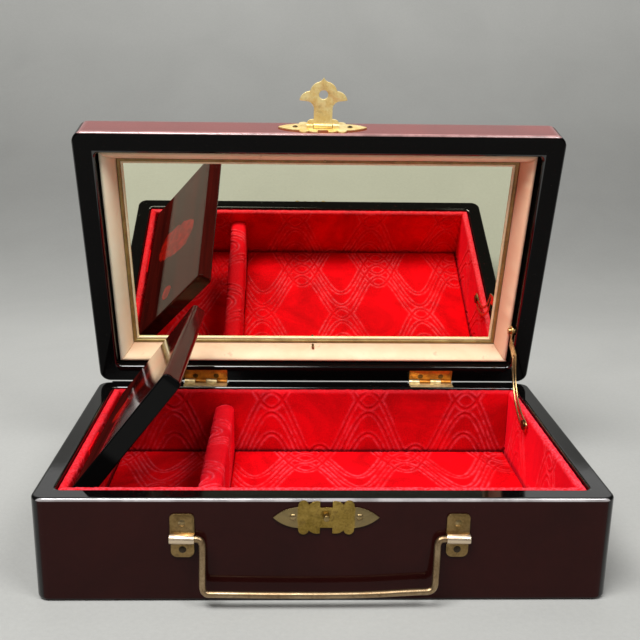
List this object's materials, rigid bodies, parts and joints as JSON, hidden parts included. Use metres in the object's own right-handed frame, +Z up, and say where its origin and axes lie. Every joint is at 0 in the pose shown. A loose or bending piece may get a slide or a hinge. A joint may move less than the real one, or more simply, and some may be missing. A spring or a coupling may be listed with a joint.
{
  "type": "jewellery box",
  "caption": "lacquered wooden jewellery box with a hinged mirror lid, velvet compartments, a raised compartment flap, a slotted lid stay, a hasp and a wire carrying handle",
  "frame": {"origin": "middle of the flat underside that the box rests on", "axes": "+X to the box's right as seen from the front, +Y to the hinges at the back, +Z up"},
  "size_m": [0.25, 0.1733, 0.2213],
  "materials": {
    "lacquer": "gloss",
    "underside_board": "satin",
    "flap_lacquer": "gloss",
    "red_velvet": "matte",
    "cream_satin": "satin",
    "mirror_silvering": "polished",
    "gold_fillet": "satin",
    "cream_lip": "satin",
    "brad_brass": "polished",
    "hinge_brass": "satin",
    "pin_steel": "satin",
    "aged_brass": "satin",
    "nail_brass": "satin",
    "bail_brass": "satin",
    "stay_brass": "satin",
    "bright_gilt": "polished"
  },
  "bodies": {
    "base": {"base_front_wall": "lacquer", "base_back_wall": "lacquer", "base_left_wall": "lacquer", "base_right_wall": "lacquer", "base_bottom_panel": "underside_board", "lining_front": "red_velvet", "lining_back": "red_velvet", "lining_left": "red_velvet", "lining_right": "red_velvet", "floor_pad_small": "red_velvet", "floor_pad_large": "red_velvet", "compartment_divider": "red_velvet", "hinge_left_base_leaf": "hinge_brass", "hinge_right_base_leaf": "hinge_brass", "hinge_left_pin": "pin_steel", "hinge_right_pin": "pin_steel", "hinge_base_nails": "hinge_brass", "catch_plate": "aged_brass", "catch_post": "aged_brass", "catch_plate_nails": "nail_brass", "handle_bracket_left": "aged_brass", "handle_bracket_right": "aged_brass", "handle_bracket_nails": "nail_brass", "stay_base_pin": "stay_brass", "flap_hinge_plate": "hinge_brass"},
    "lid": {"lid_front_rail": "lacquer", "lid_back_rail": "lacquer", "lid_left_rail": "lacquer", "lid_right_rail": "lacquer", "lid_top_panel": "lacquer", "frame_strip_front": "cream_satin", "frame_strip_back": "cream_satin", "frame_strip_left": "cream_satin", "frame_strip_right": "cream_satin", "mirror_glass": "mirror_silvering", "mirror_fillet": "gold_fillet", "mirror_lip": "cream_lip", "frame_brads": "brad_brass", "hinge_left_lid_leaf": "hinge_brass", "hinge_right_lid_leaf": "hinge_brass", "hinge_lid_nails": "hinge_brass", "hasp_plate": "bright_gilt", "hasp_pin": "pin_steel", "hasp_plate_nails": "bright_gilt", "stay_lid_pin": "stay_brass"},
    "hasp_arm": {"hasp": "bright_gilt"},
    "bail": {"bail_handle": "bail_brass"},
    "stay": {"stay_strap": "stay_brass"},
    "flap": {"compartment_flap": "flap_lacquer", "flap_hinge_pin": "pin_steel"}
  },
  "joints": [
    {"name": "lid_hinge", "type": "hinge", "parent": "base", "child": "lid", "pos_m": [0, 0.075, 0.0492], "axis": [-1, 0, 0], "range_deg": [-74.5, 2.5]},
    {"name": "hasp_swing", "type": "hinge", "parent": "lid", "child": "hasp_arm", "pos_m": [0.0012, 0.04217, 0.19752], "axis": [-1, 0, 0], "range_deg": [-90, 80]},
    {"name": "bail_swing", "type": "hinge", "parent": "base", "child": "bail", "pos_m": [0, -0.0774, 0.0314], "axis": [-1, 0, 0], "range_deg": [-2, 120]},
    {"name": "flap_hinge", "type": "hinge", "parent": "base", "child": "flap", "pos_m": [-0.1059, 0, 0.0448], "axis": [0, -1, 0], "range_deg": [-51.7, 1.8]},
    {"name": "stay_swing", "type": "hinge", "parent": "lid", "child": "stay", "pos_m": [0.1135, 0.06852, 0.08268], "axis": [-1, 0, 0], "range_deg": [-2.8, 80.6]}
  ],
  "couplings": [
    {"joint": "flap_hinge", "follows": "lid_hinge", "ratio": 0.6926},
    {"joint": "stay_swing", "follows": "lid_hinge", "ratio": -1.08}
  ]
}
